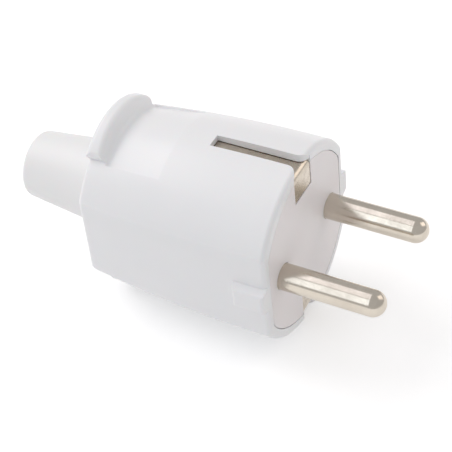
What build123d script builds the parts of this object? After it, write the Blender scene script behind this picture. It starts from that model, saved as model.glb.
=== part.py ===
from build123d import *
import math
import os

# Rewirable grounded mains plug with two round pins and side earth contacts.
# Origin: centre of the front face. +X runs along the pins to their tips,
# +Y goes sideways from pin to pin and +Z points at the upper earth contact.
# All lengths are in millimetres.

# Contact pins
pin_diameter = 4.8
pin_length = 19.0
pin_spacing = 19.0
pin_shank_diameter = 5.4
pin_shoulder_length = 0.3
pin_seat_depth = 10.0
terminal_width = 6.0
terminal_height = 7.0
terminal_edge = 0.4
wire_hole_diameter = 4.0
wire_hole_depth = 7.6

# Body form: a bulged round barrel between two flattened sides
body_length = 37.5
front_radius = 18.15
rear_radius = 15.95
front_half_width = 15.8
rear_half_width = 13.9
bulge = 0.65
side_edge_radius = 1.3
rim_edge_radius = 0.9
rear_edge_radius = 1.2

# Walls of the shell
round_wall = 1.9
flat_wall = 1.5
ledge = 0.6
rear_wall = 2.6
flange_depth = 5.5
face_edge_radius = 0.25
pocket_corner_radius = 1.5
insert_corner_radius = 5.0

# Grip fins and the shallow scoop in front of each
fin_crest = 19.1
fin_arc_radius = 13.0
fin_thickness = 2.6
fin_draft_angle = 18.0
fin_half_angle = 31.0
fin_edge_radius = 1.1
fin_foot_radius = 1.2
scoop_half_angle = 33.0
scoop_front = 20.0
scoop_depth = 0.35

# Guide ribs on the flattened sides
rib_length = 6.3
rib_proud = 1.65
rib_base_width = 4.9
rib_draft_angle = 18.0
rib_edge_radius = 0.6

# Earth contacts: one bent strip, seen through a slot at the top and the bottom
strip_width = 6.0
strip_thickness = 0.8
strip_reach = 16.5
strip_tip_height = 11.2
strip_recess = 0.1
strip_bend_radius = 1.3
slot_length = 16.6
slot_width = 2.8

# Earth terminal on the strip's tab
tab_height = 8.0
tab_width = 6.4
tab_corner_radius = 1.6
washer_diameter = 6.8
washer_thickness = 0.8
nut_width = 6.2
nut_height = 2.3
nut_chamfer = 0.5

# Carrier behind its flange, the hooks that hold it and the plate that closes it
carrier_length = 18.8
hook_front = 10.0
hook_length = 3.4
hook_proud = 0.75
hook_width = 6.0
hook_slit = 0.6
hook_slit_front = 7.0
retainer_thickness = 2.2
retainer_screw_y = 5.6
retainer_screw_z = 10.9
retainer_screw_length = 9.0

# Cord grip: a saddle on the retainer and a clamp bar over it
cord_diameter = 8.0
saddle_length = 8.1
saddle_width = 19.4
saddle_neck_width = 9.2
saddle_floor = 8.5
saddle_top = 2.6
bar_thickness = 2.6
bar_width = 4.0
bar_corner_radius = 1.3
clamp_screw_inset = 2.5
clamp_screw_length = 11.0

# Screws and the leaf that each terminal screw presses on the wire
terminal_screw_diameter = 3.4
terminal_head_diameter = 5.2
terminal_head_height = 1.9
small_screw_diameter = 2.8
small_head_diameter = 4.4
small_head_height = 1.7
screw_slot_width = 0.8
screw_slot_depth = 0.9
screw_edge_radius = 0.35
leaf_width = 2.4
leaf_thickness = 0.4
leaf_lip = 1.8

# Cable sleeve
sleeve_length = 18.2
sleeve_base_radius = 8.25
sleeve_end_radius = 6.3
sleeve_bore_radius = 4.2
sleeve_neck_radius = 6.4
sleeve_flange_radius = 7.7
sleeve_flange_thickness = 1.6
sleeve_end_round = 1.2
sleeve_mouth_round = 0.6

# Clearances
insert_gap = 0.08
inner_gap = 0.3
saddle_gap = 0.4
strip_gap = 0.15
pin_gap = 0.05
pocket_gap = 0.1
screw_gap = 0.05
hook_gap = 0.1
neck_gap = 0.1

# Places worked out from the sizes above
pin_y = pin_spacing / 2
pin_radius = pin_diameter / 2
shank_radius = pin_shank_diameter / 2
wire_radius = wire_hole_diameter / 2
cord_radius = cord_diameter / 2
terminal_length = carrier_length - pin_seat_depth - pocket_gap
terminal_end = -pin_seat_depth - terminal_length
terminal_screw_x = -pin_seat_depth - terminal_length / 2
leaf_top = math.sqrt(wire_radius**2 - (leaf_width / 2) ** 2) - pocket_gap
strip_inside = strip_reach - strip_thickness
channel_half_width = strip_width / 2 + strip_gap
slot_flare_radius = channel_half_width - slot_width / 2
retainer_back = -carrier_length - retainer_thickness
earth_screw_x = retainer_back - inner_gap - washer_diameter / 2
tab_end = earth_screw_x - washer_diameter / 2
cavity_end = -body_length + rear_wall
sleeve_front = cavity_end + sleeve_flange_thickness
saddle_end = sleeve_front + saddle_gap
saddle_front = saddle_end + saddle_length
bar_x = saddle_end + inner_gap + bar_width / 2
bar_bottom = saddle_top + inner_gap
clamp_screw_y = saddle_width / 2 - clamp_screw_inset
overshoot = 1.0
far = 3 * front_radius

os.makedirs("parts", exist_ok=True)


def bulged(x, front, rear):
    """Half size of the bulged form at x, which is 0 at the front and negative behind it."""
    share = -x / body_length
    return front + (rear - front) * share + 4 * bulge * share * (1 - share)


def body_radius(x):
    return bulged(x, front_radius, rear_radius)


def body_half_width(x):
    return bulged(x, front_half_width, rear_half_width)


def barrel(x_front, x_rear, corner_radius, round_inset=0.0, flat_inset=0.0):
    """The body's form between two places, smaller by one inset all round and one at its flats."""
    with BuildPart() as form:
        for x in (x_front, (x_front + x_rear) / 2, x_rear):
            with BuildSketch(Plane.YZ.offset(x)) as section:
                Circle(body_radius(x) - round_inset)
                Rectangle(2 * (body_half_width(x) - flat_inset), far, mode=Mode.INTERSECT)
                fillet(section.vertices(), corner_radius)
        loft()
    return form.part


def slotted_screw(plane, diameter, length, head_diameter, head_height):
    """Cheese-head screw whose head sits on the plane, with its shank against the normal."""
    with BuildPart() as screw:
        with BuildSketch(plane):
            Circle(head_diameter / 2)
        extrude(amount=head_height)
        head_top = screw.faces().sort_by(Axis((0, 0, 0), tuple(plane.z_dir)))[-1]
        fillet(head_top.edges(), screw_edge_radius)
        with BuildSketch(plane):
            Circle(diameter / 2)
        extrude(amount=-length)
        with BuildSketch(plane.offset(head_height - screw_slot_depth)):
            Rectangle(screw_slot_width, head_diameter + overshoot)
        extrude(amount=screw_slot_depth + overshoot, mode=Mode.SUBTRACT)
    return screw.part


def save(piece, name):
    piece.label = name
    export_step(piece, "parts/" + name + ".step")


# Scoop and fin front, cut in one line: a shallow dip in the round of the body that turns up into
# the sloped front of the fin. The line starts above the surface, so the scoop's front edge is
# where it crosses the body.
crest_front = -body_length + fin_thickness
fin_height = fin_crest - rear_radius + scoop_depth
fin_foot = crest_front + fin_height * math.tan(math.radians(fin_draft_angle))
scoop_places = (-scoop_front, (fin_foot - scoop_front) / 2, fin_foot)
scoop_dips = (-scoop_depth, scoop_depth, scoop_depth)
scoop_radii = [body_radius(x) - dip for x, dip in zip(scoop_places, scoop_dips)]
with BuildPart() as scoop:
    with BuildSketch(Plane.XZ.rotated((-scoop_half_angle, 0, 0))) as outline:
        with BuildLine():
            dip = ThreePointArc(*zip(scoop_places, scoop_radii))
            Polyline(
                dip @ 1,
                (crest_front, fin_crest),
                (crest_front, far),
                (-scoop_front, far),
                dip @ 0,
            )
        make_face()
        fillet(outline.vertices().sort_by_distance(dip @ 1)[0], fin_foot_radius)
    revolve(axis=Axis.X, revolution_arc=2 * scoop_half_angle)

# Fin before its front is cut: part of a ring, its crest an arc of a smaller circle
fin_root = rear_radius - rear_edge_radius - scoop_depth
fin_blank_length = fin_foot + fin_foot_radius + body_length
with BuildPart() as fin:
    with BuildSketch(Plane.XZ.rotated((-fin_half_angle, 0, 0))):
        with Locations((-body_length, fin_root)):
            Rectangle(fin_blank_length, far, align=(Align.MIN, Align.MIN))
    revolve(axis=Axis.X, revolution_arc=2 * fin_half_angle)
    with BuildSketch(Plane.YZ):
        with Locations((0, fin_crest - fin_arc_radius)):
            Circle(fin_arc_radius)
    extrude(amount=-far, mode=Mode.INTERSECT)

# Guide rib: a low block with sloped sides and rear, rooted in the flat wall and cut off at the front
rib_spread = flat_wall * math.tan(math.radians(rib_draft_angle))
with BuildPart() as rib:
    with BuildSketch(Plane.ZX.offset(front_half_width - flat_wall)):
        with Locations((0, -rib_length - rib_spread)):
            Rectangle(
                rib_base_width + 2 * rib_spread,
                2 * rib_length,
                align=(Align.CENTER, Align.MIN),
            )
    extrude(amount=flat_wall + rib_proud, taper=rib_draft_angle)
    split(bisect_by=Plane.YZ, keep=Keep.BOTTOM)
    fillet(rib.faces().sort_by(Axis.Y)[-1].edges(), rib_edge_radius)

# Slot over one earth contact: narrow behind, flared to the strip's width at the rim
with BuildPart() as slot:
    with BuildSketch(Plane.XY.offset(strip_inside)):
        with BuildLine():
            flare = JernArc(
                (-strip_recess - slot_flare_radius, slot_width / 2),
                (1, 0),
                slot_flare_radius,
                90,
            )
            Polyline(
                flare @ 1,
                (overshoot, channel_half_width),
                (overshoot, 0),
                (-slot_length, 0),
                (-slot_length, slot_width / 2),
                flare @ 0,
            )
        make_face()
        mirror(about=Plane.XZ)
    extrude(amount=far)
    with BuildSketch(Plane.XY.offset(strip_tip_height)):
        with Locations((overshoot, 0)):
            Rectangle(
                carrier_length + strip_gap + overshoot,
                2 * channel_half_width,
                align=(Align.MAX, Align.CENTER),
            )
    extrude(amount=strip_reach + strip_gap - strip_tip_height)
    mirror(about=Plane.XY)

# Recess in the shell's wall for the hook on one side of the carrier
block_round_inset = round_wall + ledge + insert_gap
block_flat_inset = flat_wall + ledge + insert_gap
hook_tip = body_half_width(-hook_front) - block_flat_inset + hook_proud
with BuildPart() as hook_recess:
    with BuildSketch(Plane.XZ):
        with Locations((-hook_front + hook_gap, 0)):
            Rectangle(
                hook_length + 2 * hook_gap,
                hook_width + 2 * hook_gap,
                align=(Align.MAX, Align.CENTER),
            )
    extrude(amount=hook_tip + hook_gap, both=True)

# Shell: one moulded piece with fins, guide ribs and the slots over the earth contacts
with BuildPart() as shell:
    add(barrel(0, -body_length, side_edge_radius))
    fillet(shell.faces().sort_by(Axis.X)[-1].edges(), rim_edge_radius)
    fillet(shell.faces().sort_by(Axis.X)[0].edges(), rear_edge_radius)
    add(fin.part)
    add(fin.part.mirror(Plane.XY))
    add(scoop.part, mode=Mode.SUBTRACT)
    add(scoop.part.mirror(Plane.XY), mode=Mode.SUBTRACT)
    round_faces = shell.faces().filter_by(GeomType.CYLINDER)
    crests = round_faces.filter_by(lambda face: math.isclose(face.radius, fin_arc_radius))
    fillet(crests.edges(), fin_edge_radius)
    add(rib.part)
    add(rib.part.mirror(Plane.XZ))
    flange_pocket = barrel(overshoot, -flange_depth, pocket_corner_radius, round_wall, flat_wall)
    add(flange_pocket, mode=Mode.SUBTRACT)
    cavity = barrel(
        -flange_depth,
        cavity_end,
        pocket_corner_radius,
        round_wall + ledge,
        flat_wall + ledge,
    )
    add(cavity, mode=Mode.SUBTRACT)
    add(slot.part, mode=Mode.SUBTRACT)
    add(hook_recess.part, mode=Mode.SUBTRACT)
    with BuildSketch(Plane.YZ.offset(-body_length - overshoot)):
        Circle(sleeve_neck_radius + neck_gap)
    extrude(amount=rear_wall + 2 * overshoot, mode=Mode.SUBTRACT)
save(shell.part, "shell")

# Contact carrier: the front face with its flange, the pin pockets and the two hooks
slit_z = hook_width / 2 + hook_slit / 2
pocket_wall_y = pin_y + terminal_width / 2
with BuildPart() as hook:
    with BuildSketch(Plane.XY):
        with BuildLine():
            Polyline(
                (-hook_front, hook_tip),
                (-hook_front, hook_tip - 2 * hook_proud),
                (-hook_front - hook_length, hook_tip - 2 * hook_proud),
                (-hook_front - hook_length, hook_tip - hook_proud),
                close=True,
            )
        make_face()
    extrude(amount=hook_width / 2, both=True)
with BuildPart() as pin_hole:
    with BuildSketch(Plane.XY):
        with BuildLine():
            Polyline(
                (overshoot, 0),
                (overshoot, pin_radius + pin_gap),
                (0, pin_radius + pin_gap),
                (-pin_shoulder_length, shank_radius + pin_gap),
                (-carrier_length, shank_radius + pin_gap),
                (-carrier_length, 0),
                close=True,
            )
        make_face()
    revolve(axis=Axis.X)
with BuildPart() as carrier:
    flange = barrel(
        0,
        -flange_depth,
        insert_corner_radius,
        round_wall + insert_gap,
        flat_wall + insert_gap,
    )
    add(flange)
    fillet(carrier.faces().sort_by(Axis.X)[-1].edges(), face_edge_radius)
    block = barrel(
        -flange_depth,
        -carrier_length,
        insert_corner_radius,
        block_round_inset,
        block_flat_inset,
    )
    add(block)
    with Locations((0, pin_y, 0), (0, -pin_y, 0)):
        add(pin_hole.part, mode=Mode.SUBTRACT)
    with BuildSketch(Plane.YZ.offset(-pin_seat_depth)):
        pocket_floor = -terminal_height / 2 - pocket_gap
        with Locations((pin_y, pocket_floor), (-pin_y, pocket_floor)):
            Rectangle(terminal_width + 2 * pocket_gap, far, align=(Align.CENTER, Align.MIN))
    extrude(amount=-carrier_length, mode=Mode.SUBTRACT)
    with BuildSketch(Plane.YZ.offset(-strip_recess - strip_thickness - strip_gap)):
        with Locations((0, strip_tip_height - strip_gap)):
            Rectangle(2 * channel_half_width, far, align=(Align.CENTER, Align.MIN))
        mirror(about=Plane.XZ)
    extrude(amount=far, mode=Mode.SUBTRACT)
    with BuildSketch(Plane.YZ):
        with Locations((0, strip_inside - strip_gap)):
            Rectangle(2 * channel_half_width, far, align=(Align.CENTER, Align.MIN))
        mirror(about=Plane.XZ)
    extrude(amount=-far, mode=Mode.SUBTRACT)
    with BuildSketch(Plane.YZ.offset(-carrier_length + strip_thickness)):
        Rectangle(2 * channel_half_width, far)
    extrude(amount=-far, mode=Mode.SUBTRACT)
    for side in (1, -1):
        with BuildSketch(Plane.XZ.offset(side * pocket_wall_y)):
            with Locations((-hook_slit_front, slit_z), (-hook_slit_front, -slit_z)):
                Rectangle(carrier_length, hook_slit, align=(Align.MAX, Align.CENTER))
        extrude(amount=side * far, mode=Mode.SUBTRACT)
    add(hook.part)
    add(hook.part.mirror(Plane.XZ))
    with BuildSketch(Plane.YZ.offset(-carrier_length)):
        with Locations((retainer_screw_y, -retainer_screw_z), (-retainer_screw_y, -retainer_screw_z)):
            Circle(small_screw_diameter / 2 + screw_gap)
    extrude(amount=retainer_screw_length - retainer_thickness + inner_gap, mode=Mode.SUBTRACT)
save(carrier.part, "contact_carrier")

# Pins: turned, with a round nose, a shank through the carrier and a terminal head behind it
for name, side in (("line", 1), ("neutral", -1)):
    with BuildPart() as pin:
        with BuildSketch(Plane.XZ.offset(-side * pin_y)):
            with BuildLine():
                nose = RadiusArc(
                    (pin_length - pin_radius, pin_radius),
                    (pin_length, 0),
                    pin_radius,
                )
                Polyline(
                    nose @ 0,
                    (0, pin_radius),
                    (-pin_shoulder_length, shank_radius),
                    (-pin_seat_depth, shank_radius),
                    (-pin_seat_depth, 0),
                    nose @ 1,
                )
            make_face()
        revolve(axis=Axis((0, side * pin_y, 0), (1, 0, 0)))
        with BuildSketch(Plane.YZ.offset(-pin_seat_depth)):
            with Locations((side * pin_y, 0)):
                RectangleRounded(terminal_width, terminal_height, terminal_edge)
        extrude(amount=-terminal_length)
        with BuildSketch(Plane.YZ.offset(terminal_end)):
            with Locations((side * pin_y, 0)):
                Circle(wire_radius)
        extrude(amount=wire_hole_depth, mode=Mode.SUBTRACT)
        with BuildSketch(Plane.XY):
            with Locations((terminal_screw_x, side * pin_y)):
                Circle(terminal_screw_diameter / 2 + screw_gap)
        extrude(amount=terminal_height, mode=Mode.SUBTRACT)
    save(pin.part, name + "_pin")

    screw_plane = Plane((terminal_screw_x, side * pin_y, terminal_height / 2), (1, side, 0), (0, 0, 1))
    terminal_screw = slotted_screw(
        screw_plane,
        terminal_screw_diameter,
        terminal_height / 2 - leaf_top,
        terminal_head_diameter,
        terminal_head_height,
    )
    save(terminal_screw, name + "_terminal_screw")

    # Leaf under the terminal screw, hooked over the rear of the terminal head
    with BuildPart() as leaf:
        with BuildSketch(Plane.XZ.offset(-side * pin_y)):
            with BuildLine():
                Polyline(
                    (terminal_screw_x + terminal_screw_diameter / 2, leaf_top),
                    (terminal_end, leaf_top),
                    (terminal_end, leaf_top + leaf_lip),
                    (terminal_end - leaf_thickness, leaf_top + leaf_lip),
                    (terminal_end - leaf_thickness, leaf_top - leaf_thickness),
                    (terminal_screw_x + terminal_screw_diameter / 2, leaf_top - leaf_thickness),
                    close=True,
                )
            make_face()
        extrude(amount=leaf_width / 2, both=True)
    save(leaf.part, name + "_wire_leaf")

# Earth bracket: one strip bent into both side contacts, with the earth terminal's tab
strip_middle = (-strip_recess - carrier_length) / 2
strip_span = carrier_length - strip_recess
with BuildPart() as bracket:
    with BuildSketch(Plane.XZ):
        with Locations((strip_middle, 0)):
            RectangleRounded(strip_span, 2 * strip_reach, strip_bend_radius)
            RectangleRounded(
                strip_span - 2 * strip_thickness,
                2 * strip_inside,
                strip_bend_radius - strip_thickness,
                mode=Mode.SUBTRACT,
            )
        with Locations((-strip_recess, 0)):
            Rectangle(
                2 * (strip_thickness + overshoot),
                2 * strip_tip_height,
                mode=Mode.SUBTRACT,
            )
    extrude(amount=strip_width / 2, both=True)
    with BuildSketch(Plane.XY.offset(tab_height)):
        with Locations((-carrier_length, 0)):
            Rectangle(
                -carrier_length - tab_end,
                tab_width,
                align=(Align.MAX, Align.CENTER),
            )
        with Locations((earth_screw_x, 0)):
            Circle(terminal_screw_diameter / 2 + screw_gap, mode=Mode.SUBTRACT)
    extrude(amount=strip_thickness)
    fillet(bracket.edges().filter_by(Axis.Z).group_by(Axis.X)[0], tab_corner_radius)
save(bracket.part, "earth_bracket")

# Earth terminal: washer above the tab, square nut below it and the screw through all three
tab_top = tab_height + strip_thickness
with BuildPart() as washer:
    with BuildSketch(Plane.XY.offset(tab_top)):
        with Locations((earth_screw_x, 0)):
            Circle(washer_diameter / 2)
            Circle(terminal_screw_diameter / 2 + screw_gap, mode=Mode.SUBTRACT)
    extrude(amount=washer_thickness)
save(washer.part, "earth_washer")

with BuildPart() as nut:
    with BuildSketch(Plane.XY.offset(tab_height)):
        with Locations((earth_screw_x, 0)):
            Rectangle(nut_width, nut_width)
            Circle(terminal_screw_diameter / 2 + screw_gap, mode=Mode.SUBTRACT)
    extrude(amount=-nut_height)
    chamfer(nut.edges().filter_by(Axis.Z).filter_by(GeomType.LINE), nut_chamfer)
save(nut.part, "earth_square_nut")

earth_screw = slotted_screw(
    Plane((earth_screw_x, 0, tab_top + washer_thickness), (1, 2, 0), (0, 0, 1)),
    terminal_screw_diameter,
    washer_thickness + strip_thickness + nut_height,
    terminal_head_diameter,
    terminal_head_height,
)
save(earth_screw, "earth_terminal_screw")

# Retainer: the plate behind the pins, with the saddle of the cord grip on a neck behind it
window_floor = -wire_radius - inner_gap
screw_places = [(side * retainer_screw_y, -retainer_screw_z) for side in (1, -1)]
with BuildPart() as retainer:
    plate = barrel(
        -carrier_length,
        retainer_back,
        insert_corner_radius,
        block_round_inset + inner_gap,
        block_flat_inset + inner_gap,
    )
    add(plate)
    with BuildSketch(Plane.YZ.offset(-carrier_length)):
        with Locations((pin_y, window_floor), (-pin_y, window_floor)):
            Rectangle(
                wire_hole_diameter + 2 * inner_gap,
                terminal_height / 2 - window_floor,
                align=(Align.CENTER, Align.MIN),
            )
        with Locations((0, tab_height - inner_gap)):
            Rectangle(tab_width + 2 * inner_gap, far, align=(Align.CENTER, Align.MIN))
        with Locations(*screw_places):
            Circle(small_screw_diameter / 2 + screw_gap)
    extrude(amount=-retainer_thickness, mode=Mode.SUBTRACT)
    with BuildSketch(Plane.XY.offset(-saddle_floor)):
        with Locations((-carrier_length, 0)):
            Rectangle(
                -carrier_length - saddle_front,
                saddle_neck_width,
                align=(Align.MAX, Align.CENTER),
            )
    extrude(amount=saddle_floor - cord_radius)
    with BuildSketch(Plane.YZ.offset(saddle_front)):
        with Locations((0, -saddle_floor)):
            Rectangle(
                saddle_width,
                saddle_floor + saddle_top,
                align=(Align.CENTER, Align.MIN),
            )
        Circle(cord_radius, mode=Mode.SUBTRACT)
        Rectangle(
            2 * cord_radius,
            far,
            align=(Align.CENTER, Align.MIN),
            mode=Mode.SUBTRACT,
        )
    extrude(amount=-saddle_length)
    with BuildSketch(Plane.XY.offset(saddle_top)):
        with Locations((bar_x, clamp_screw_y), (bar_x, -clamp_screw_y)):
            Circle(small_screw_diameter / 2 + screw_gap)
    extrude(amount=-clamp_screw_length + bar_thickness, mode=Mode.SUBTRACT)
save(retainer.part, "pin_retainer")

for name, side in (("left", 1), ("right", -1)):
    retainer_screw = slotted_screw(
        Plane((retainer_back, side * retainer_screw_y, -retainer_screw_z), (0, 1, side), (-1, 0, 0)),
        small_screw_diameter,
        retainer_screw_length,
        small_head_diameter,
        small_head_height,
    )
    save(retainer_screw, "retainer_screw_" + name)

# Clamp bar over the cord, with a hollow that follows the cord, and its two screws
with BuildPart() as clamp_bar:
    with BuildSketch(Plane.YZ.offset(bar_x)):
        with Locations((0, bar_bottom)):
            Rectangle(saddle_width, bar_thickness, align=(Align.CENTER, Align.MIN))
        Circle(cord_radius, mode=Mode.SUBTRACT)
    extrude(amount=bar_width / 2, both=True)
    fillet(clamp_bar.edges().filter_by(Axis.Z), bar_corner_radius)
    with BuildSketch(Plane.XY.offset(bar_bottom)):
        with Locations((bar_x, clamp_screw_y), (bar_x, -clamp_screw_y)):
            Circle(small_screw_diameter / 2 + screw_gap)
    extrude(amount=bar_thickness, mode=Mode.SUBTRACT)
save(clamp_bar.part, "cord_clamp_bar")

for name, side in (("left", 1), ("right", -1)):
    clamp_screw = slotted_screw(
        Plane((bar_x, side * clamp_screw_y, bar_bottom + bar_thickness), (2, side, 0), (0, 0, 1)),
        small_screw_diameter,
        clamp_screw_length,
        small_head_diameter,
        small_head_height,
    )
    save(clamp_screw, "cord_clamp_screw_" + name)

# Cable sleeve: a soft cone behind the shell, held by a flange inside the rear wall
sleeve_end = -body_length - sleeve_length
with BuildPart() as sleeve:
    with BuildSketch(Plane.XZ):
        with BuildLine():
            Polyline(
                (sleeve_front, sleeve_bore_radius),
                (sleeve_front, sleeve_flange_radius),
                (cavity_end, sleeve_flange_radius),
                (cavity_end, sleeve_neck_radius),
                (-body_length, sleeve_neck_radius),
                (-body_length, sleeve_base_radius),
                (sleeve_end, sleeve_end_radius),
                (sleeve_end, sleeve_bore_radius),
                close=True,
            )
        make_face()
    revolve(axis=Axis.X)
    end_edges = sleeve.edges().filter_by(GeomType.CIRCLE).group_by(Axis.X)[0].sort_by(SortBy.RADIUS)
    fillet(end_edges[-1], sleeve_end_round)
    end_edges = sleeve.edges().filter_by(GeomType.CIRCLE).group_by(Axis.X)[0].sort_by(SortBy.RADIUS)
    fillet(end_edges[0], sleeve_mouth_round)
save(sleeve.part, "cable_sleeve")
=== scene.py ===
import math

import bmesh
import bpy
from mathutils import Matrix, Vector


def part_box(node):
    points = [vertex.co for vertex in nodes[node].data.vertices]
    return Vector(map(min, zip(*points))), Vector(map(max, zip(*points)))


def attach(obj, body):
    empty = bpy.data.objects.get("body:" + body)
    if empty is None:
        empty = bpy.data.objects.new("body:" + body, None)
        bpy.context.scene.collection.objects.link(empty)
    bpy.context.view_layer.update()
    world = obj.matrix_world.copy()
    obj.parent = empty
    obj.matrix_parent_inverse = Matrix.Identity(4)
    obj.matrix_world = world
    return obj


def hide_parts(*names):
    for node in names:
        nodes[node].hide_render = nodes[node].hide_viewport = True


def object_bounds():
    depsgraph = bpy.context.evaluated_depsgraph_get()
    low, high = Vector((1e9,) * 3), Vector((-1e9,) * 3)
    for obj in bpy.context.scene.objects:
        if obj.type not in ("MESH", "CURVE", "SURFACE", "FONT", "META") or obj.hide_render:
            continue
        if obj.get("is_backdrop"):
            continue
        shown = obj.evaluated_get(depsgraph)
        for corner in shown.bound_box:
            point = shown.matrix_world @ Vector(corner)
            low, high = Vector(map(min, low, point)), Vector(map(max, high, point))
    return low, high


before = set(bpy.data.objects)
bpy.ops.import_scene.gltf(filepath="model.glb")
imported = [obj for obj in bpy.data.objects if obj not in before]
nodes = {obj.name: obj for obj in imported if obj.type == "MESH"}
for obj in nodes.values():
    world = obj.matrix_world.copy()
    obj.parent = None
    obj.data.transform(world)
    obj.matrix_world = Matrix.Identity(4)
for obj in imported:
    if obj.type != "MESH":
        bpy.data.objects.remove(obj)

# Rewirable grounded mains plug with two round pins and side earth contacts.
# Lengths are written in millimetres and multiplied by MM, because the frame is in metres.
MM = 0.001
cad_low, cad_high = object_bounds()


def linear(hex_colour):
    """The linear colour, with full alpha, of an sRGB hex value."""
    channels = [int(hex_colour[i : i + 2], 16) / 255 for i in (1, 3, 5)]
    return [c / 12.92 if c <= 0.04045 else ((c + 0.055) / 1.055) ** 2.4 for c in channels] + [1.0]


def add_node(tree, kind, inputs=None, **settings):
    """Adds a node. Settings are its own properties, inputs are values or sockets that feed it."""
    node = tree.nodes.new(kind)
    for name, value in settings.items():
        setattr(node, name, value)
    for key, value in (inputs or {}).items():
        if isinstance(value, bpy.types.NodeSocket):
            tree.links.new(value, node.inputs[key])
        else:
            node.inputs[key].default_value = value
    return node


def add_object(name, data):
    """An object at the origin, linked to the scene, that shows a mesh, a lamp or a camera."""
    added = bpy.data.objects.new(name, data)
    bpy.context.scene.collection.objects.link(added)
    return added


# Surfaces


def start_material(name, **values):
    """A material with one surface shader, whose constant values are set on its own sockets."""
    material = bpy.data.materials.new(name)
    material.use_nodes = True
    tree = material.node_tree
    shader = tree.nodes["Principled BSDF"]
    for key, value in values.items():
        shader.inputs[key.replace("_", " ")].default_value = value
    return material, tree, shader


def wire_surface(tree, shader, colours, tone_pattern, roughness, gloss_pattern, relief):
    """Feeds the shader: two colours and two roughnesses, each pair mixed by a pattern, and a
    relief given as the inputs of a bump."""
    tone = add_node(
        tree,
        "ShaderNodeMix",
        {"Factor": tone_pattern, "A": linear(colours[0]), "B": linear(colours[1])},
        data_type="RGBA",
    )
    gloss = add_node(
        tree,
        "ShaderNodeMapRange",
        {"Value": gloss_pattern, "To Min": roughness[0], "To Max": roughness[1]},
    )
    bump = add_node(tree, "ShaderNodeBump", relief)
    tree.links.new(tone.outputs["Result"], shader.inputs["Base Color"])
    tree.links.new(gloss.outputs["Result"], shader.inputs["Roughness"])
    tree.links.new(bump.outputs["Normal"], shader.inputs["Normal"])


def moulded_plastic(name, colours, roughness, grain, grain_depth, **values):
    """Injection-moulded plastic: a faint drift of tone across the piece, and the grain of the
    mould, which spreads the gloss."""
    drift_width = 14
    gloss_spread = 0.05
    material, tree, shader = start_material(name, **values)
    place = add_node(tree, "ShaderNodeTexCoord").outputs["Object"]
    drift = add_node(
        tree,
        "ShaderNodeTexNoise",
        {"Vector": place, "Scale": 1 / (drift_width * MM), "Detail": 2.0, "Roughness": 0.5},
    ).outputs["Fac"]
    grain_noise = add_node(
        tree,
        "ShaderNodeTexNoise",
        {"Vector": place, "Scale": 1 / (grain * MM), "Detail": 3.0, "Roughness": 0.6},
    ).outputs["Fac"]
    wire_surface(
        tree,
        shader,
        colours,
        drift,
        (roughness - gloss_spread, roughness + gloss_spread),
        grain_noise,
        {"Height": grain_noise, "Strength": 1.0, "Distance": grain_depth * MM},
    )
    return material


def plated_metal(name, colours, roughness, line_spacing, axis, stain_width=3.5):
    """Plated metal with the fine lines that its tool left, repeated along the given axis, and
    faint stains in the plating, which are a little duller than the rest."""
    line_depth = 0.004
    stain_edge = (0.35, 0.65)
    clean_gain, stain_loss = 0.03, 0.04
    material, tree, shader = start_material(name, Metallic=1.0)
    place = add_node(tree, "ShaderNodeTexCoord").outputs["Object"]
    along = add_node(tree, "ShaderNodeSeparateXYZ", {"Vector": place}).outputs[axis]
    lines = add_node(
        tree,
        "ShaderNodeTexNoise",
        {"W": along, "Scale": 1 / (line_spacing * MM), "Detail": 4.0, "Roughness": 0.7},
        noise_dimensions="1D",
    ).outputs["Fac"]
    blotches = add_node(
        tree,
        "ShaderNodeTexNoise",
        {"Vector": place, "Scale": 1 / (stain_width * MM), "Detail": 4.0, "Roughness": 0.55},
    ).outputs["Fac"]
    stains = add_node(
        tree,
        "ShaderNodeMapRange",
        {"Value": blotches, "From Min": stain_edge[0], "From Max": stain_edge[1]},
    ).outputs["Result"]
    wire_surface(
        tree,
        shader,
        colours,
        stains,
        (roughness - clean_gain, roughness + stain_loss),
        stains,
        {"Height": lines, "Strength": 0.5, "Distance": line_depth * MM},
    )
    return material


# Plastics. The grain of such moulds is about 0.1 mm wide. It is drawn at 0.3 to 0.4 mm, coarser
# than it is, so that it shows.

# Shell: ABS from a finely eroded mould. To the eye it is a cool white with a satin sheen, so its
# wide faces show soft gradients and no mirror image.
shell_plastic = moulded_plastic(
    "white_moulded_abs",
    ("#F3F3F4", "#EEEFF1"),
    roughness=0.36,
    grain=0.30,
    grain_depth=0.003,
    IOR=1.54,
    Subsurface_Weight=0.06,
    Subsurface_Scale=MM,
)

# Carrier: filled polyamide, moulded. It is duller than the shell. Its colours are a little pinker
# than the shell's: a painted tint of the warm light that falls on the front face.
carrier_plastic = moulded_plastic(
    "white_moulded_polyamide",
    ("#F1ECEC", "#EBE6E6"),
    roughness=0.42,
    grain=0.35,
    grain_depth=0.006,
    IOR=1.53,
    Subsurface_Weight=0.04,
    Subsurface_Scale=MM,
)

# Cable sleeve: soft PVC, moulded. Light sinks into it, so its shaded side stays pale and its
# sheen is broad and weak.
sleeve_plastic = moulded_plastic(
    "white_moulded_soft_pvc",
    ("#F3F3F3", "#EFEFEF"),
    roughness=0.46,
    grain=0.40,
    grain_depth=0.004,
    IOR=1.53,
    Subsurface_Weight=0.08,
    Subsurface_Scale=MM,
)

# Pieces inside: unpolished moulded polyamide, matt and greyer than what is seen from outside.
inner_plastic = moulded_plastic(
    "grey_white_moulded_polyamide",
    ("#E2E0DC", "#D8D5D0"),
    roughness=0.55,
    grain=0.4,
    grain_depth=0.006,
    IOR=1.53,
)

# Metals. A lathe or a rolling mill leaves lines about 0.05 to 0.1 mm apart. They are drawn at
# 0.18 to 0.4 mm, coarser than they are, so that they show.

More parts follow.
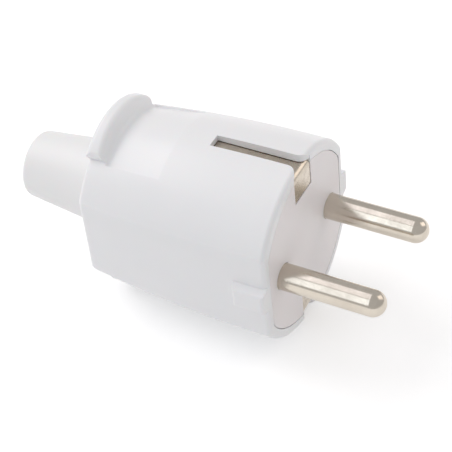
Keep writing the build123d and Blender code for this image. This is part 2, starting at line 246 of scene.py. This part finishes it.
# Pins: brass turned in a lathe and plated with nickel. A warm grey mirror, in which the fine rings
# round the pin draw the lights out into streaks along it.
pin_nickel = plated_metal(
    "nickel_plated_turned_brass",
    ("#D5CDC0", "#CDC4B7"),
    roughness=0.19,
    line_spacing=0.18,
    axis="X",
)

# Earth strip and wire leaves: rolled strip plated with nickel. Duller and browner than the pins,
# with lines along the strip and small stains.
strip_nickel = plated_metal(
    "nickel_plated_rolled_strip",
    ("#D2C8BA", "#C2B8AA"),
    roughness=0.26,
    line_spacing=0.4,
    axis="Y",
    stain_width=1.6,
)

# Screws, washer and nut: steel, turned and plated with zinc. A cool, slightly cloudy grey.
screw_zinc = plated_metal(
    "zinc_plated_turned_steel",
    ("#C2C4C6", "#A6A8AA"),
    roughness=0.28,
    line_spacing=0.2,
    axis="Z",
)

finishes = {
    "shell": shell_plastic,
    "contact_carrier": carrier_plastic,
    "cable_sleeve": sleeve_plastic,
    "pin_retainer": inner_plastic,
    "cord_clamp_bar": inner_plastic,
    "line_pin": pin_nickel,
    "neutral_pin": pin_nickel,
    "earth_bracket": strip_nickel,
    "line_wire_leaf": strip_nickel,
    "neutral_wire_leaf": strip_nickel,
}
for name, node in nodes.items():
    for slot in node.material_slots:
        slot.material = finishes.get(name, screw_zinc)

# Screws: each keeps its head and gets a real thread on its shank. Each kind has the shank's
# diameter, the head's height and the pitch, and each screw has the way its head points.
terminal_kind = {"diameter": 3.4, "head_height": 1.9, "pitch": 0.6}
plate_kind = {"diameter": 2.8, "head_height": 1.7, "pitch": 0.9}
upward = Vector((0, 0, 1))
rearward = Vector((-1, 0, 0))
screws = {
    "line_terminal_screw": (terminal_kind, upward),
    "neutral_terminal_screw": (terminal_kind, upward),
    "earth_terminal_screw": (terminal_kind, upward),
    "cord_clamp_screw_left": (plate_kind, upward),
    "cord_clamp_screw_right": (plate_kind, upward),
    "retainer_screw_left": (plate_kind, rearward),
    "retainer_screw_right": (plate_kind, rearward),
}
steps_round = 32
thread_depth_per_pitch = 0.28
ridge_half_width_per_pitch = 0.45
head_cut = 0.02
merge_distance = 0.001
sharp_angle = math.radians(35)


def thread_tree():
    """A shank along -Z from the origin: a core and a helical ridge of diamond section round it."""
    tree = bpy.data.node_groups.new("rolled_thread", "GeometryNodeTree")
    sizes = {"Shank Radius": 1.4, "Thread Depth": 0.25, "Pitch": 0.9, "Length": 9.0}
    for name, size in sizes.items():
        socket = tree.interface.new_socket(name, in_out="INPUT", socket_type="NodeSocketFloat")
        socket.default_value = size * MM
    tree.interface.new_socket("Finish", in_out="INPUT", socket_type="NodeSocketMaterial")
    tree.interface.new_socket("Geometry", in_out="OUTPUT", socket_type="NodeSocketGeometry")
    given = add_node(tree, "NodeGroupInput").outputs

    # Sums on the sizes: each takes two sizes, or a size and a number
    sums = {name: given[name] for name in sizes}
    for name, operation, first, second in (
        ("core radius", "SUBTRACT", "Shank Radius", "Thread Depth"),
        ("core middle", "MULTIPLY", "Length", -0.5),
        ("climb", "SUBTRACT", "Length", "Pitch"),
        ("turns", "DIVIDE", "climb", "Pitch"),
        ("ridge half width", "MULTIPLY", "Pitch", ridge_half_width_per_pitch),
        ("half pitch", "MULTIPLY", "Pitch", 0.5),
        ("ridge start", "SUBTRACT", "half pitch", "Length"),
    ):
        values = {0: sums[first], 1: sums.get(second, second)}
        sums[name] = add_node(tree, "ShaderNodeMath", values, operation=operation).outputs[0]

    core = add_node(
        tree,
        "GeometryNodeMeshCylinder",
        {"Vertices": steps_round, "Radius": sums["core radius"], "Depth": sums["Length"]},
    )
    core_place = add_node(tree, "ShaderNodeCombineXYZ", {"Z": sums["core middle"]})
    placed_core = add_node(
        tree,
        "GeometryNodeTransform",
        {"Geometry": core.outputs["Mesh"], "Translation": core_place.outputs[0]},
    )
    helix = add_node(
        tree,
        "GeometryNodeCurveSpiral",
        {
            "Resolution": steps_round,
            "Rotations": sums["turns"],
            "Start Radius": sums["core radius"],
            "End Radius": sums["core radius"],
            "Height": sums["climb"],
        },
    )
    upright = add_node(
        tree, "GeometryNodeSetCurveNormal", {"Curve": helix.outputs[0]}, mode="Z_UP"
    )
    square = add_node(tree, "GeometryNodeCurvePrimitiveCircle", {"Resolution": 4, "Radius": 1.0})
    ridge_size = add_node(
        tree,
        "ShaderNodeCombineXYZ",
        {"X": sums["Thread Depth"], "Y": sums["ridge half width"], "Z": 1.0},
    )
    diamond = add_node(
        tree,
        "GeometryNodeTransform",
        {"Geometry": square.outputs["Curve"], "Scale": ridge_size.outputs[0]},
    )
    ridge = add_node(
        tree,
        "GeometryNodeCurveToMesh",
        {"Curve": upright.outputs[0], "Profile Curve": diamond.outputs[0], "Fill Caps": True},
    )
    ridge_place = add_node(tree, "ShaderNodeCombineXYZ", {"Z": sums["ridge start"]})
    placed_ridge = add_node(
        tree,
        "GeometryNodeTransform",
        {"Geometry": ridge.outputs[0], "Translation": ridge_place.outputs[0]},
    )
    joined = add_node(tree, "GeometryNodeJoinGeometry")
    for part in (placed_core, placed_ridge):
        tree.links.new(part.outputs[0], joined.inputs[0])
    real = add_node(tree, "GeometryNodeRealizeInstances", {"Geometry": joined.outputs[0]})
    dressed = add_node(
        tree,
        "GeometryNodeSetMaterial",
        {"Geometry": real.outputs[0], "Material": given["Finish"]},
    )
    add_node(tree, "NodeGroupOutput", {"Geometry": dressed.outputs[0]})
    return tree


def threaded_shank(tree, values):
    """The mesh that the thread's tree makes with the given values of its inputs."""
    holder = add_object("shank", bpy.data.meshes.new("shank"))
    modifier = holder.modifiers.new("thread", "NODES")
    modifier.node_group = tree
    for item in tree.interface.items_tree:
        if item.in_out == "INPUT":
            modifier[item.identifier] = values[item.name]
    evaluated = holder.evaluated_get(bpy.context.evaluated_depsgraph_get())
    mesh = bpy.data.meshes.new_from_object(evaluated)
    bpy.data.objects.remove(holder)
    return mesh


def screw_head(node, seat, outward):
    """What a screw's own mesh has on the head's side of its seat, closed where it is cut."""
    shape = bmesh.new()
    shape.from_mesh(node.data)
    bmesh.ops.remove_doubles(shape, verts=shape.verts, dist=merge_distance * MM)
    cut = bmesh.ops.bisect_plane(
        shape,
        geom=shape.verts[:] + shape.edges[:] + shape.faces[:],
        plane_co=seat - outward * head_cut * MM,
        plane_no=outward,
        clear_inner=True,
    )
    rim = [edge for edge in cut["geom_cut"] if isinstance(edge, bmesh.types.BMEdge)]
    bmesh.ops.contextual_create(shape, geom=rim)
    return shape


thread = thread_tree()
for name, (kind, outward) in screws.items():
    low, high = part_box(name)
    head_height = kind["head_height"] * MM
    seat = (Vector(low) + Vector(high)) / 2
    if outward == upward:
        seat.z = high[2] - head_height
        length = seat.z - low[2]
    else:
        seat.x = low[0] + head_height
        length = high[0] - seat.x
    shape = screw_head(nodes[name], seat, outward)
    shank = threaded_shank(
        thread,
        {
            "Shank Radius": kind["diameter"] / 2 * MM,
            "Thread Depth": thread_depth_per_pitch * kind["pitch"] * MM,
            "Pitch": kind["pitch"] * MM,
            "Length": length,
            "Finish": screw_zinc,
        },
    )
    turn = outward.to_track_quat("Z", "Y").to_matrix().to_4x4()
    shank.transform(Matrix.Translation(seat) @ turn)
    shape.from_mesh(shank)
    mesh = bpy.data.meshes.new(name + "_threaded")
    shape.to_mesh(mesh)
    shape.free()
    mesh.materials.append(screw_zinc)
    mesh.shade_smooth()
    mesh.set_sharp_from_angle(angle=sharp_angle)
    piece = add_object(name + "_threaded", mesh)
    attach(piece, "root")
    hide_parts(name)

# Floor: a plain disc under the plug. Diffuse white paint, which the eye sees as the photograph's
# blank background: it is lifted to full white for the rays that see the background straight from
# the camera, mirrored or let through. It keeps the plug's shadow.
floor_radius = 2000
floor_sides = 96
floor_gap = 0.05
floor_lift = 0.34
disc = bmesh.new()
bmesh.ops.create_circle(disc, cap_ends=True, segments=floor_sides, radius=floor_radius * MM)
bmesh.ops.translate(disc, verts=disc.verts, vec=(0, 0, cad_low.z - floor_gap * MM))
floor_mesh = bpy.data.meshes.new("floor")
disc.to_mesh(floor_mesh)
disc.free()
floor_paint = bpy.data.materials.new("white_painted_floor")
floor_paint.use_nodes = True
tree = floor_paint.node_tree
tree.nodes.clear()
paint = add_node(tree, "ShaderNodeBsdfDiffuse", {"Color": linear("#F4F4F4")})
lift = add_node(
    tree, "ShaderNodeEmission", {"Color": linear("#FFFFFF"), "Strength": floor_lift}
)
lifted = add_node(tree, "ShaderNodeAddShader", {0: paint.outputs[0], 1: lift.outputs[0]})
ray = add_node(tree, "ShaderNodeLightPath")
background_rays = ray.outputs["Is Camera Ray"]
for bounced in ("Is Glossy Ray", "Is Transmission Ray"):
    background_rays = add_node(
        tree,
        "ShaderNodeMath",
        {0: background_rays, 1: ray.outputs[bounced]},
        operation="MAXIMUM",
    ).outputs[0]
floor_look = add_node(
    tree, "ShaderNodeMixShader", {0: background_rays, 1: paint.outputs[0], 2: lifted.outputs[0]}
)
add_node(tree, "ShaderNodeOutputMaterial", {"Surface": floor_look.outputs[0]})
floor_mesh.materials.append(floor_paint)
add_object("floor", floor_mesh)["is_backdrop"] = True

# Light: an even room, a large soft lamp over the rear, one on the far side for the front face, and
# two long panels whose reflections run side by side down the pins
room_colour = "#F5F5F6"
room_strength = 0.635
lamp_distance = 900
world = bpy.data.worlds.new("studio")
world.use_nodes = True
room = world.node_tree.nodes["Background"]
room.inputs["Color"].default_value = linear(room_colour)
room.inputs["Strength"].default_value = room_strength
bpy.context.scene.world = world


def soft_lamp(name, direction, width, height, power, colour):
    """An area lamp that shines at the plug from a direction, its width as near X as it can be."""
    data = bpy.data.lights.new(name, "AREA")
    data.shape = "RECTANGLE"
    data.size, data.size_y = width * MM, height * MM
    data.energy = power
    data.color = linear(colour)[:3]
    away = Vector(direction).normalized()
    across = (Vector((1, 0, 0)) - away * away.x).normalized()
    lamp = add_object(name, data)
    lamp.location = away * lamp_distance * MM
    lamp.rotation_euler = Matrix((across, away.cross(across), away)).transposed().to_euler()


soft_lamp("rear_lamp", (-0.72, 0.02, 0.70), 420, 700, power=2.7, colour="#FFFAF8")
soft_lamp("back_lamp", (0.58, 0.60, 0.52), 420, 640, power=0.88, colour="#FFF3EA")
soft_lamp("side_panel", (-0.30, -0.725, 0.64), 120, 770, power=0.48, colour="#EFF6FF")
soft_lamp("overhead_panel", (-0.30, 0.04, 0.954), 120, 690, power=0.33, colour="#F8F5FF")

# Camera: the photograph's place and angle, with its slight roll. The lens and the sensor's width
# are in millimetres as they stand.
camera_place = Vector((87.57, -167.51, 184.71)) * MM
camera_aim = Vector((-13.09, -4.95, 3.10)) * MM
camera_roll = math.radians(-6.75)
sensor_width = 36
lens = 120.17
camera_data = bpy.data.cameras.new("camera")
camera_data.sensor_width = sensor_width
camera_data.lens = lens
camera = add_object("camera", camera_data)
camera.location = camera_place
straight = (camera_aim - camera_place).to_track_quat("-Z", "Y").to_matrix()
camera.rotation_euler = (straight @ Matrix.Rotation(camera_roll, 3, "Z")).to_euler()
bpy.context.scene.camera = camera
bpy.context.scene.view_settings.view_transform = "Standard"

low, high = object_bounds()
